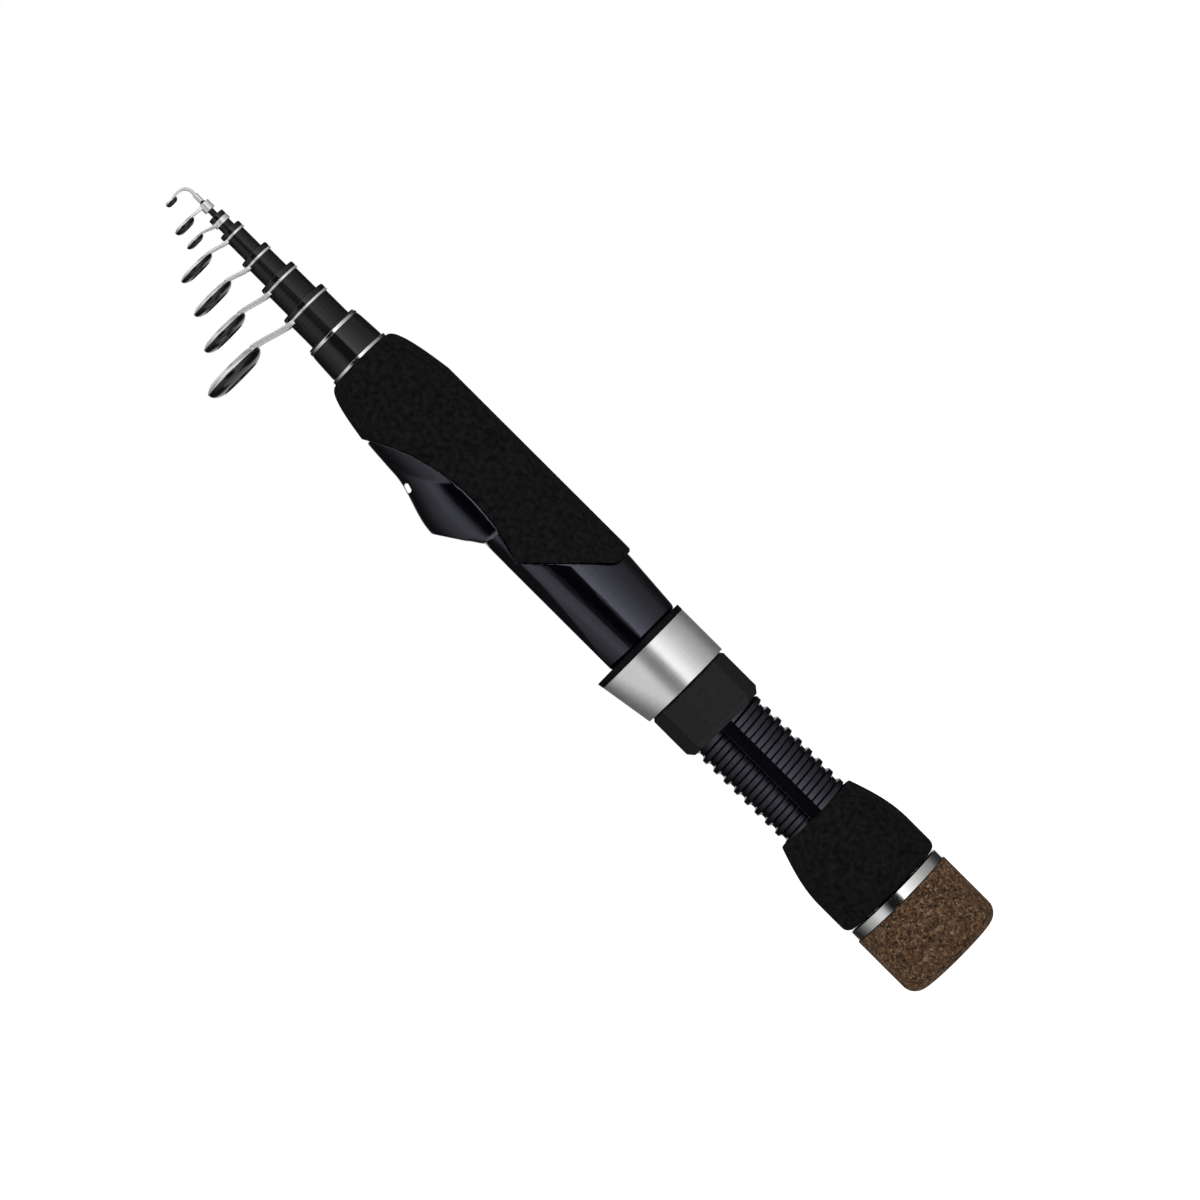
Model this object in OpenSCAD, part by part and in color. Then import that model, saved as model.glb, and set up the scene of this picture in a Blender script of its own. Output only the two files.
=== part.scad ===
// Telescopic spinning rod, closed for carrying, in millimetres.
// The rod stands on its butt at the origin: +Z runs to the tip,
// and the line guides and the reel's saddle face -X.

/* [Butt] */
// Radius of the cork cap
cap_r = 14.75; // [14:0.25:15]
// Height of the cork cap
cap_h = 19.4; // [16:0.2:24]
// Radius of the cap's rounded lower edge
cap_edge = 4; // [2:0.5:5]
// Height of the metal ring above the cap
ring_h = 3.1; // [2:0.1:5]

/* [Grips] */
// Largest radius of the rear grip
rear_grip_r = 15.2; // [14.4:0.1:17]
// Height of the rear grip
rear_grip_h = 26.4; // [24:0.2:34]
// Radius of the foregrip
foregrip_r = 13.85; // [13.5:0.05:15]
// Length of the foregrip
foregrip_h = 79.4; // [76:0.2:90]

/* [Reel seat] */
// Radius over the crests of the hood thread
thread_r = 10.35; // [10.2:0.05:10.5]
// Distance from one thread crest to the next
thread_pitch = 3.55; // [2.5:0.05:4]
// Length of thread left bare behind the lock nut
thread_bare = 30.9; // [20:0.1:40]
// Distance of the reel's saddle from the rod's axis
saddle_x = 10.3; // [10.2:0.05:10.6]
// Length of the saddle from the sliding hood to the fixed hood
saddle_len = 43; // [40:0.5:46]
// Height of the fixed hood's lip above the rod's axis
lip_x = 17.8; // [17:0.1:19]

/* [Hood and nut] */
// Height of the lock nut
nut_h = 13.4; // [10:0.2:18]
// Radius over the corners of the lock nut
nut_r = 12.4; // [12:0.1:13.5]
// Length of the sliding hood
hood_h = 15.4; // [13:0.2:18]
// Radius of the sliding hood's back
hood_r = 12.4; // [12.4:0.1:13.5]

/* [Sections] */
// Bare length of the first section in front of the foregrip
front_bare = 10; // [9:0.5:20]
// Overlap of the second section in the first when drawn out
first_overlap = 24; // [18:1:40]
// How much less each next section overlaps
overlap_step = 2; // [0:0.5:2.5]
// Gap left between two tapers when they lock
lock_gap = 0.05; // [0.03:0.01:0.08]

/* [Hidden] */
$fn = 96;
eps = 0.01;
// Bonded faces stand this far apart
bond = 0.02;
// Sliding and turning faces stand this far apart
slack = 0.15;

// Stations along the rod
ring_z = cap_h + ring_h;
thread_z = ring_z + rear_grip_h;
nut_z = thread_z + thread_bare;
hood_z = nut_z + nut_h + slack;
shoulder_z = hood_z + hood_h + 2 * slack;
mouth_z = shoulder_z + saddle_len;
lip_z = mouth_z + 12;
grip_z = shoulder_z + 17;
grip_top = grip_z + foregrip_h;
check_h = 0.9;
front_z = grip_top + check_h + front_bare - 0.6;

// Telescoping sections, from the butt: radius at the front end, wall there,
// and how far each front end stands beyond the one before
TIP_R = [7.4, 6.15, 4.85, 3.65, 2.7, 1.8, 0.8];
WALL = [0.7, 0.65, 0.6, 0.55, 0.5, 0.45, 0];
STEP = [0, 9.8, 9.0, 7.9, 8.3, 4.8, 4.8];
butt_r = 8.45;
bush_h = 9.2;
cushion_h = 2.5;
bush_top = ring_z + 0.2 + bush_h;
cushion_top = bush_top + cushion_h;
rest_gap = 0.3;

function front(k) = k == 0 ? front_z : front(k - 1) + STEP[k];
function base(k) = k == 0 ? ring_z + 0.2 : (k == 1 ? bush_top : cushion_top) + rest_gap;
function length_of(k) = front(k) - base(k);
function overlap(k) = first_overlap - overlap_step * (k - 1);
function bore_r(k) = TIP_R[k] - WALL[k];
// A section tapers so that its foot just reaches the bore of the one before
// when it is drawn out to its overlap
function taper(k) = k == 0
    ? (butt_r - TIP_R[0]) / length_of(0)
    : (bore_r(k - 1) - lock_gap - TIP_R[k]) / (length_of(k) - overlap(k));
function outer_r(k, z) = TIP_R[k] + taper(k) * (front(k) - z);
function inner_r(k, z) = bore_r(k) + taper(k + 1) * (front(k) - z);
function travel(k) = front(k - 1) - base(k) - overlap(k);
echo(section_travel = [for (k = [1 : 6]) travel(k)]);

// Line guides, from the butt: radius of the eye, its distance from the rod's
// axis, its lean towards the tip, its width, and the width of the leg's root
EYE_R = [8.6, 6.8, 6.2, 5.1, 2.6, 3.0, 1.7];
EYE_X = [23.8, 18.6, 14.8, 12.3, 8.0, 7.1, 5.2];
LEAN = [1.7, 1.1, 1.1, 0.8, 1.2, 0.6, 0];
EYE_W = [4.1, 3.0, 2.6, 2.2, 1.5, 1.9, 1.4];
ROOT_W = [1.9, 1.7, 1.5, 1.3, 1.1, 1.1];
COLLAR_W = [0.6, 0.6, 0.6, 0.6, 1.4, 2.4];
collar_wall = 0.42;
wrap_w = 1.4;
leg_t = 0.55;
// Share of the eye's radius that its rim takes, and the share of the rim's
// width, from the hole, at which the steel begins
rim_share = 0.38;
steel_share = 0.4;
FLOAT = 5;
TIP = 6;
// Wire of the tip eye: its radius, the radius of its bend, its height above
// the eye's black ring, and the eye's own height
wire_r = 0.42;
bend = 2.4;
bend_z = front(TIP) + 3.3;
wire_lift = 0.06;
tip_eye_z = bend_z + bend - wire_r - wire_lift;

// Reel seat
thread_root = thread_r - 0.85;
seat_bore = 8.75;
seat_z = thread_z - 4;
seat_core = 10.3;
seat_top = mouth_z + 38;
thread_top = hood_z + 1;
skin_r = 13.3;
key_w = 3.2;
key_floor = 9.35;
arbor_h = 8;
arbor_inset = 2;
// The fixed hood is turned about an axis beside the rod's own
hood_axis = 5;
fairing_r = 8.9;
ramp_z = lip_z + 17;
keeper_x = 13.95;
keeper_z = lip_z + 11.2;
// Edge of the foregrip's cut-out over the saddle
edge_r = 52;
edge_x = 4.6;
edge_z = lip_z - 1.4;

// Sliding hood
shell_t = 0.7;
rim_h = 1.6;
lobe_rear = 7.7;
lobe_front = 9.9;
hood_bore = thread_r + slack;
spigot_r = 11.05;
spigot_h = 2.4;

// Butt
plug_r = 7.4;
spigot_plug_r = 6;
plug_z = 7;
cushion_r = 5.7;

function arc(x, z, r, from, to, n) =
    [for (i = [0 : n]) let (a = from + (to - from) * i / n) [x + r * cos(a), z + r * sin(a)]];

// Extrudes an outline drawn in X and Z across the rod
module across(w) rotate([90, 0, 0]) linear_extrude(w, center = true) children();
module ring(r_in, r_out, z0, z1) {
    rotate_extrude() polygon([[r_in, z0], [r_out, z0], [r_out, z1], [r_in, z1]]);
}
module rod(r, z0, z1) translate([0, 0, z0]) cylinder(h = z1 - z0, r = r);

// Butt: a rubberised cork cap on a screwed plug, with a cushion for the sections

module butt_cap() {
    color("sienna") difference() {
        rotate_extrude() polygon(concat(
            [[0, 0]],
            arc(cap_r - cap_edge, cap_edge, cap_edge, -90, 0, 6),
            [[cap_r, cap_h - 0.4], [cap_r - 0.4, cap_h], [0, cap_h]]
        ));
        rod(plug_r + bond, plug_z - bond, cap_h + eps);
    }
}

module cap_plug() {
    color("dimgray") union() {
        rod(plug_r, plug_z, cap_h);
        rod(spigot_plug_r, cap_h - eps, bush_top - 0.5);
        rod(spigot_plug_r - 0.5, bush_top - 0.5 - eps, bush_top);
    }
}

module cap_cushion() {
    color("black") rotate_extrude() polygon([
        [0, bush_top], [cushion_r, bush_top], [cushion_r, cushion_top - 0.5],
        [cushion_r - 0.5, cushion_top], [0, cushion_top]
    ]);
}

module butt_ring() {
    ring_r = cap_r - 0.4;
    color("silver") rotate_extrude() polygon([
        [spigot_plug_r + slack, cap_h + slack], [ring_r - 0.3, cap_h + slack],
        [ring_r, cap_h + slack + 0.3], [ring_r, ring_z - 0.45],
        [ring_r - 0.3, ring_z - slack], [spigot_plug_r + slack, ring_z - slack]
    ]);
}

module butt_bush() {
    z0 = base(0);
    color("gray") rotate_extrude() polygon([
        [spigot_plug_r + slack, z0], [inner_r(0, z0) - bond, z0],
        [inner_r(0, bush_top) - bond, bush_top], [spigot_plug_r + slack, bush_top]
    ]);
}

module rear_grip() {
    swell = 16.5;
    neck_r = 11.6;
    edge = 2;
    z0 = ring_z + 0.1;
    color("black") difference() {
        rotate_extrude() polygon(concat(
            [[0, z0]],
            arc(rear_grip_r - edge, z0 + edge, edge, -70, 0, 4),
            [for (i = [0 : 14]) let (t = i / 14)
                [neck_r + (rear_grip_r - neck_r) * cos(90 * t), thread_z - swell * (1 - t)]],
            [[neck_r - 0.6, thread_z], [0, thread_z]]
        ));
        rotate_extrude() polygon([
            [0, z0 - eps], [outer_r(0, z0) + bond, z0 - eps],
            [outer_r(0, seat_z) + bond, seat_z], [0, seat_z]
        ]);
        rod(thread_r + bond, seat_z - bond, thread_z + eps);
    }
}

// Reel seat: a threaded barrel and a saddle with the fixed hood, in one moulding

module thread_crests() {
    crests = floor((thread_top - seat_z) / thread_pitch);
    crest_w = 0.34 * thread_pitch;
    flank_w = 0.16 * thread_pitch;
    rotate_extrude() polygon(concat(
        [[seat_bore, seat_z], [thread_root, seat_z]],
        [for (i = [0 : crests - 1], p = [0 : 3]) let (z = seat_z + (i + 0.5) * thread_pitch)
            [p == 0 || p == 3 ? thread_root : thread_r,
             z + (p < 2 ? -1 : 1) * (crest_w / 2 + (p == 0 || p == 3 ? flank_w : 0))]],
        [[thread_root, shoulder_z + eps], [seat_bore, shoulder_z + eps]]
    ));
}

// Outline, in X and Z, of what the foregrip leaves bare
module bare_outline() {
    run = 19;
    polygon([
        [20, seat_z], [20, grip_z], [9.3, grip_z], [9.3 - run, grip_z + run],
        [-30, grip_z + run], [-30, seat_z]
    ]);
    translate([-edge_x - edge_r, edge_z]) circle(edge_r, $fn = 180);
}

module fixed_hood() {
    ramp = ramp_z - lip_z;
    translate([-hood_axis, 0, 0]) rotate_extrude() polygon(concat(
        [[0, mouth_z], [lip_x - hood_axis, mouth_z]],
        [for (i = [0 : 16]) let (t = i / 16)
            [lip_x - hood_axis - (lip_x - hood_axis - fairing_r) * (1 - cos(180 * t)) / 2,
             lip_z - 1 + (ramp + 1) * t]],
        [[fairing_r - 0.6, seat_top], [0, seat_top]]
    ));
}

module saddle_skin() {
    rotate_extrude() polygon([
        [0, shoulder_z], [11, shoulder_z], [11.5, shoulder_z + 0.5], [12.7, grip_z],
        [skin_r, grip_z + 9], [skin_r, seat_top], [0, seat_top]
    ]);
}

// Space for the reel's foot under the fixed hood
module foot_pocket() {
    pocket_axis = 8;
    intersection() {
        translate([-pocket_axis, 0, mouth_z - 2]) cylinder(h = 23, r1 = 10, r2 = 6.5);
        translate([-40 - saddle_x, -20, mouth_z - 3]) cube([40, 40, 40]);
    }
}

// Slot through the crest behind the fixed hood, to hang the hook in
module hook_keeper() {
    slot_r = 0.45;
    half = 0.65;
    slope = 17;
    translate([-keeper_x, 0, keeper_z]) rotate([0, slope, 0]) across(30) union() {
        for (end = [-half, half]) translate([0, end]) circle(slot_r);
        square([2 * slot_r, 2 * half], center = true);
    }
}

module reel_seat() {
    chamfer_turn = 26.4;
    chamfer_x = 11.67;
    color([0.05, 0.05, 0.06]) difference() {
        union() {
            thread_crests();
            rod(seat_core, shoulder_z, seat_top);
            intersection() {
                union() {
                    saddle_skin();
                    fixed_hood();
                }
                across(60) bare_outline();
            }
        }
        across(60) polygon([
            [-saddle_x, shoulder_z - eps], [-saddle_x, mouth_z], [-lip_x - 0.5, lip_z],
            [-40, lip_z], [-40, shoulder_z - eps]
        ]);
        for (side = [-1, 1])
            rotate([0, 0, side * chamfer_turn]) translate([-20 - chamfer_x, -20, shoulder_z - eps])
                cube([20, 40, saddle_len - 1]);
        foot_pocket();
        hook_keeper();
        for (side = [-1, 1])
            translate([-key_w / 2, side == 1 ? key_floor : -key_floor - 10, seat_z - eps])
                cube([key_w, 10, shoulder_z - seat_z]);
        rod(seat_bore, seat_z - 1, seat_top + 1);
    }
}

// One of the two sleeves that centre the seat on the first section
module seat_arbor(z0) {
    color("gray") rotate_extrude() polygon([
        [outer_r(0, z0) + bond, z0], [seat_bore - bond, z0],
        [seat_bore - bond, z0 + arbor_h], [outer_r(0, z0 + arbor_h) + bond, z0 + arbor_h]
    ]);
}

// Sliding hood: a round back with a lobe that opens towards the reel's foot

module hood_form(inset, z0, z1) {
    function lobe(z) = lobe_rear + (lobe_front - lobe_rear) * (z - hood_z) / (hood_h - rim_h) - inset;
    hull() for (z = [z0, z1 - eps]) translate([0, 0, z]) {
        cylinder(h = eps, r = hood_r - inset, $fn = 72);
        translate([-hood_axis, 0, 0]) cylinder(h = eps, r = lobe(z), $fn = 72);
    }
}

module hood_shell() {
    rim_z = hood_z + hood_h - rim_h;
    color("silver") difference() {
        hood_form(0, hood_z, rim_z);
        hood_form(shell_t, hood_z - 1, rim_z + 1);
    }
}

module hood_liner() {
    rim_z = hood_z + hood_h - rim_h;
    color("black") difference() {
        union() {
            hood_form(shell_t + bond, hood_z, rim_z + rim_h / 2);
            hood_form(0, rim_z + bond, hood_z + hood_h);
        }
        difference() {
            rod(hood_bore, hood_z - 1, hood_z + hood_h + 1);
            for (side = [-1, 1])
                translate([-key_w / 2 + slack, side == 1 ? key_floor + slack : -key_floor - slack - 5,
                    hood_z + spigot_h + 1]) cube([key_w - 2 * slack, 5, hood_h - spigot_h - 3]);
        }
        rod(spigot_r + slack, hood_z - 1, hood_z + spigot_h + slack);
        intersection() {
            translate([-hood_axis, 0, hood_z + hood_h - 10]) cylinder(h = 10.1, r1 = 6.4, r2 = 8.5);
            translate([-40 - saddle_x, -20, hood_z]) cube([40, 40, 40]);
        }
    }
}

module lock_nut() {
    nut_top = nut_z + nut_h;
    corner_r = nut_r - 0.12;
    color([0.08, 0.08, 0.09]) difference() {
        union() {
            intersection() {
                rotate([0, 0, 15]) translate([0, 0, nut_z - 1]) cylinder(h = nut_h + 2, r = nut_r, $fn = 12);
                rotate_extrude() polygon([
                    [0, nut_z], [nut_r - 1.5, nut_z], [corner_r, nut_z + 1.6],
                    [corner_r, nut_top - 0.8], [nut_r - 0.8, nut_top], [0, nut_top]
                ]);
            }
            rod(spigot_r, nut_top - eps, nut_top + spigot_h);
        }
        rod(hood_bore, nut_z - 1, nut_top + spigot_h + 1);
    }
}

module foregrip() {
    nose = 16.5;
    nose_r = 8.5;
    color("black") difference() {
        rotate_extrude() polygon(concat(
            [[0, grip_z], [foregrip_r - 0.6, grip_z], [foregrip_r, grip_z + 0.6]],
            [for (i = [0 : 14]) let (t = pow(1 - i / 14, 2))
                [nose_r + (foregrip_r - nose_r) * pow(t, 0.4), grip_top - nose * t]],
            [[0, grip_top]]
        ));
        rod(seat_core + bond, grip_z - 1, seat_top + bond);
        rod(outer_r(0, seat_top) + bond, seat_top, grip_top + 1);
        across(60) bare_outline();
    }
}

module grip_check() {
    color("silver") rotate_extrude() polygon([
        [outer_r(0, grip_top) + bond, grip_top], [8.7, grip_top], [8.7, grip_top + check_h - 0.2],
        [8.5, grip_top + check_h], [outer_r(0, grip_top) + bond, grip_top + check_h]
    ]);
}

module front_wrap() {
    z0 = grip_top + check_h;
    z1 = front_z - 1.4;
    color("black") rotate_extrude() polygon([
        [outer_r(0, z0) + bond, z0], [8.2, z0], [7.75, z1 - 0.3],
        [7.6, z1], [outer_r(0, z1) + bond, z1]
    ]);
}

module front_ring() {
    z1 = front_z - 0.5;
    color("silver") ring(outer_r(0, z1 - 0.9) + bond, 7.75, z1 - 0.9, z1);
}

// Telescoping sections: each is a tapered tube, and the last one is solid

module section(k) {
    color([0.09, 0.09, 0.1]) rotate_extrude() polygon([
        [inner_r(k, base(k)), base(k)], [outer_r(k, base(k)), base(k)],
        [TIP_R[k], front(k)], [bore_r(k), front(k)]
    ]);
}

module tip_section() {
    k = TIP;
    spigot = 2;
    color([0.09, 0.09, 0.1]) rotate_extrude() polygon([
        [0, base(k)], [outer_r(k, base(k)), base(k)], [TIP_R[k], front(k) - 0.3],
        [0.4, front(k)], [0.4, front(k) + spigot], [0, front(k) + spigot]
    ]);
}

// Line guides: a steel frame on a collar, with a black ring set in its eye

function rim(g) = rim_share * EYE_R[g];
function hole_r(g) = EYE_R[g] - rim(g);
function collar_z(g) = g == FLOAT ? front(6) - 3 : front(g + 1) - wrap_w - COLLAR_W[g];
function eye_z(g) = collar_z(g) + COLLAR_W[g] / 2 + LEAN[g];
function collar_bore(g) = g == FLOAT ? 1.08 : outer_r(g + 1, collar_z(g)) + bond;

module eye_frame(g) {
    w = EYE_W[g];
    h = hole_r(g);
    b = rim(g);
    seat = h + steel_share * b + bond;
    rotate_extrude() polygon(concat(
        [[seat, 0], [h + b, 0]],
        [for (t = [0 : 0.2 : 1]) [h + b + (seat - h - b) * t, w * (0.06 + 0.29 * pow(t, 0.7))]]
    ));
}

module eye_insert(g) {
    w = EYE_W[g];
    h = hole_r(g);
    b = rim(g);
    nose = min(0.3 * b, 0.25 * w);
    color([0.03, 0.03, 0.03]) rotate_extrude() polygon(concat(
        [[h + steel_share * b, 0.22 * w], [h + 0.15 * b, 0.22 * w], [h, 0.12 * w]],
        arc(h + nose, nose - 0.65 * w, nose, 180, 270, 4),
        [for (t = [0.2 : 0.2 : 1]) [h + nose + (0.97 * b - nose) * t, -w * (0.06 + 0.59 * pow(1 - t, 0.8))]],
        [[h + 0.97 * b, 0], [h + steel_share * b, 0]]
    ));
}

module leg(g, side) {
    spread = 28;
    from_r = collar_bore(g) + collar_wall / 2;
    root = [-0.6 * from_r, side * 0.8 * from_r];
    reach = hole_r(g) + 0.75 * rim(g);
    top = [-EYE_X[g] + reach * cos(spread), side * reach * sin(spread)];
    run = norm(top - root);
    turn = atan2(top[1] - root[1], top[0] - root[0]);
    root_z = collar_z(g) + COLLAR_W[g] - ROOT_W[g] / 2 - 0.1;
    top_w = 0.33 * EYE_W[g];
    rise = eye_z(g) + 0.17 * EYE_W[g] - root_z;
    thick = min(leg_t, 0.3 * from_r);
    translate([root[0], root[1], root_z]) rotate([0, 0, turn]) across(thick)
        polygon([
            [-0.2, -ROOT_W[g] / 2], [run, rise - top_w / 2], [run, rise + top_w / 2], [-0.2, ROOT_W[g] / 2]
        ]);
}

module guide_frame(g) {
    z0 = collar_z(g);
    z1 = z0 + COLLAR_W[g];
    color("silver") difference() {
        union() {
            rod(collar_bore(g) + collar_wall, z0, z1);
            leg(g, -1);
            leg(g, 1);
            translate([-EYE_X[g], 0, eye_z(g)]) eye_frame(g);
        }
        rod(collar_bore(g), z0 - 5, z1 + 5);
        translate([-EYE_X[g], 0, eye_z(g) - EYE_W[g]]) cylinder(h = EYE_W[g] + bond, r = EYE_R[g]);
    }
}

module guide_insert(g) translate([-EYE_X[g], 0, eye_z(g)]) eye_insert(g);

module guide_wrap(g) {
    k = g + 1;
    z0 = front(k) - wrap_w;
    r = TIP_R[k];
    color("black") rotate_extrude() polygon([
        [outer_r(k, z0) + bond, z0], [r + 0.33, z0], [r + 0.42, z0 + 0.3],
        [r + 0.33, front(k) - 0.3], [r + 0.1, front(k)], [outer_r(k, z0) + bond, front(k)]
    ]);
}

// Tip eye: a tube over the tip's spigot, drawn out into a wire that curves down to the eye

module tip_frame() {
    z0 = front(6);
    tube_r = 0.68;
    top_x = EYE_X[TIP] - hole_r(TIP) - 0.6 * rim(TIP);
    color("silver") difference() {
        union() {
            rod(tube_r, z0, z0 + 2.4);
            rod(wire_r, z0 + 2, bend_z + eps);
            translate([-bend, 0, bend_z]) rotate([90, 0, 0])
                rotate_extrude(angle = 90) translate([bend, 0]) circle(wire_r, $fn = 24);
            translate([-top_x, 0, bend_z + bend]) rotate([0, 90, 0])
                cylinder(h = top_x - bend + eps, r = wire_r, $fn = 24);
            translate([-EYE_X[TIP], 0, tip_eye_z + bond]) eye_frame(TIP);
        }
        rod(0.4 + bond, z0 - 1, z0 + 2 + bond);
    }
}

module tip_insert() translate([-EYE_X[TIP], 0, tip_eye_z]) eye_insert(TIP);

butt_cap();
cap_plug();
cap_cushion();
butt_ring();
butt_bush();
rear_grip();
reel_seat();
seat_arbor(thread_z + arbor_inset);  // rear_arbor
seat_arbor(seat_top - arbor_h - arbor_inset);  // front_arbor
hood_shell();
hood_liner();
lock_nut();
foregrip();
grip_check();
front_wrap();
front_ring();
for (k = [0 : 5])
    section(k);
tip_section();  // section_7
for (g = [0 : 4]) {
    guide_frame(g);
    guide_insert(g);
    guide_wrap(g);
}
guide_frame(FLOAT);  // float_frame
guide_insert(FLOAT);  // float_insert
tip_frame();
tip_insert();
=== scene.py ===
# %% [markdown]
# # Dressing a telescopic spinning rod
# The rod is closed for carrying: seven tapered sections sit in one another, and each carries its own
# line guide. The frame that is loaded here already holds every part at its real size, standing on its butt
# with the tip up. The lesson gives those parts the finish of the real rod, and rebuilds the ones whose
# looks depend on soft edges, on a true screw thread or on a smooth curve.

# %% Load the frame
import math

import bmesh
import bpy
from bmesh.types import BMEdge, BMFace, BMVert
from mathutils import Matrix, Vector


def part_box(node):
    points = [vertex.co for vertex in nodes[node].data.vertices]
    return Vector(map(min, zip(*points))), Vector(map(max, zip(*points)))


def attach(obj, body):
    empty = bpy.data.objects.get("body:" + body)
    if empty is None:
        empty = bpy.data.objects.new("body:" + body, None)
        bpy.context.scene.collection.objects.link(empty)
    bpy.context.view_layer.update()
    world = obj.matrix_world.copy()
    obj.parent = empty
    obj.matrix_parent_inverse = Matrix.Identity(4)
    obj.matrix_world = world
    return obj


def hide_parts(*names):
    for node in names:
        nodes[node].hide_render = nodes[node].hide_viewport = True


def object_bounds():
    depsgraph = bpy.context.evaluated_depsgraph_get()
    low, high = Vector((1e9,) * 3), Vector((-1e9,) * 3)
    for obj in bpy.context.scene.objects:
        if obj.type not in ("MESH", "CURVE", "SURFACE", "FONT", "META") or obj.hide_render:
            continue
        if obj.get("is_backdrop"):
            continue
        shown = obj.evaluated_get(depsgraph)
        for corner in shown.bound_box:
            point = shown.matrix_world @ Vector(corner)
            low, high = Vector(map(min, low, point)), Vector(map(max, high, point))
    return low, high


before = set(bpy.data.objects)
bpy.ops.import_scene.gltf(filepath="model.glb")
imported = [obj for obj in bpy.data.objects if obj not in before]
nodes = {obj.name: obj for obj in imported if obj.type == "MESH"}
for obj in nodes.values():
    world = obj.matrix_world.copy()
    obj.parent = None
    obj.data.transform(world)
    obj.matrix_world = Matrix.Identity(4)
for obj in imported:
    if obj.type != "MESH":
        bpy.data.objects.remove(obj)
cad_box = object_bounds()
scene = bpy.context.scene
scene.view_settings.view_transform = "Standard"
MM = 0.001
print("nodes", len(nodes), "box in mm", [round(side / MM, 1) for side in cad_box[1] - cad_box[0]])

# %% [markdown]
# ## The camera
# The photograph was taken square to the rod from some way off, and the rod lies across the picture from
# corner to corner. Turning the rod would mean moving the frame, so the camera is rolled instead: its
# right-hand side points between +X and the butt. The lens follows from the scale of the photograph, so the
# rod fills the same share of the picture.

# %% Camera
PHOTO_SIDE = 1200
PIXELS_PER_MM = 4.1
CAMERA_DISTANCE = 1.6
SENSOR = 36
ROLL_DEGREES = 45.08
AIM = Vector((-0.2, 0, 122.9)) * MM
roll = math.radians(ROLL_DEGREES)
camera_right = Vector((math.cos(roll), 0, -math.sin(roll)))
camera_up = Vector((math.sin(roll), 0, math.cos(roll)))
camera_back = Vector((0, -1, 0))

lens = bpy.data.cameras.new("photo_view")
lens.sensor_width = SENSOR
lens.lens = SENSOR * CAMERA_DISTANCE / (PHOTO_SIDE / PIXELS_PER_MM * MM)
camera = bpy.data.objects.new("photo_view", lens)
camera.matrix_world = (Matrix.Translation(AIM + camera_back * CAMERA_DISTANCE)
                       @ Matrix((camera_right, camera_up, camera_back)).transposed().to_4x4())
scene.collection.objects.link(camera)
scene.camera = camera
print("lens of", round(lens.lens, 1), "mm at", CAMERA_DISTANCE, "m")

# %% [markdown]
# ## Small tools for shader nodes
# A shader tree is a list of nodes and links, which soon gets long. A few small functions keep it readable:
# they set a socket either to a value or to a link, add a node by the name of its kind, do a sum, mix two
# colours, or map a value to a ramp of colours. With them a finish reads from top to bottom as a recipe.


# %% Tools for shader nodes
def put(tree, value, socket):
    """Links a socket to another one, or sets it to a plain value."""
    if isinstance(value, bpy.types.NodeSocket):
        tree.links.new(value, socket)
    else:
        socket.default_value = value


def add(tree, kind, settings=None, **sockets):
    """Adds a node: settings are its own properties, sockets are its inputs by name."""
    made = tree.nodes.new("ShaderNode" + kind)
    for name, value in (settings or {}).items():
        setattr(made, name, value)
    for name, value in sockets.items():
        put(tree, value, made.inputs[name.replace("_", " ")])
    return made


def sums(tree, operation, first, second=0.0):
    """Adds a Math node and gives back its result."""
    made = add(tree, "Math", {"operation": operation})
    put(tree, first, made.inputs[0])
    put(tree, second, made.inputs[1])
    return made.outputs[0]


def mixed(tree, share, first, second, blend="MIX"):
    """Mixes two colours and gives back the result."""
    made = add(tree, "Mix", {"data_type": "RGBA", "blend_type": blend})
    for place, value in ((0, share), (6, first), (7, second)):
        put(tree, value, made.inputs[place])
    return made.outputs[2]


def ramp(tree, value, stops):
    """Maps a value to colours through a ramp of (place, colour) stops."""
    made = add(tree, "ValToRGB", Fac=value)
    for place, _ in stops[1:-1]:
        made.color_ramp.elements.new(place)
    for stop, (place, colour) in zip(made.color_ramp.elements, sorted(stops)):
        stop.position = place
        stop.color = colour
    return made.outputs["Color"]


def grey(level):
    """A colour with the same level in red, green and blue."""
    return (level, level, level, 1)


# %% [markdown]
# ## The studio
# The background is white, so the world is white to the camera and to reflections, and only a plain soft
# level lights the object itself. The floor is pale, and a little of its white is its own glow for the same
# rays, so that it meets the world without a line and still shows the object's shadow. The butt cap unscrews
# downwards, so the floor lies just below the end of its travel.
#
# A black and shiny object needs something to reflect. A photographer stands cards round it: here a round
# screen that only reflections can see has a bright side and a softer one, a dark gap near the lens, and dark
# cards at the back that draw the edges of metal and gloss. One ramp over the angle paints all of them.

# %% World and floor
BACKGROUND_WHITE = 1.0
WORLD_LEVEL = 0.55
FLOOR_SIZE, FLOOR_DROP, FLOOR_GLOW = 60, 13.3, 0.6


def seen_directly(tree):
    """1 for rays from the camera, from a reflection or through glass, and 0 for the light on surfaces."""
    rays = add(tree, "LightPath").outputs
    either = sums(tree, "MAXIMUM", rays["Is Camera Ray"], rays["Is Glossy Ray"])
    return sums(tree, "MAXIMUM", either, rays["Is Transmission Ray"])


def solid(name, bm, material=None):
    """Makes a bmesh an object of the scene, and frees the bmesh."""
    mesh = bpy.data.meshes.new(name)
    bm.to_mesh(mesh)
    bm.free()
    if material:
        mesh.materials.append(material)
    made = bpy.data.objects.new(name, mesh)
    scene.collection.objects.link(made)
    return made


world = bpy.data.worlds.new("white_studio")
world.use_nodes = True
scene.world = world
world_tree = world.node_tree
backdrop = world_tree.nodes["Background"]
backdrop.inputs["Color"].default_value = grey(1)
level = add(world_tree, "MapRange", To_Min=WORLD_LEVEL, To_Max=BACKGROUND_WHITE,
            Value=seen_directly(world_tree))
world_tree.links.new(level.outputs[0], backdrop.inputs["Strength"])

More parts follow.
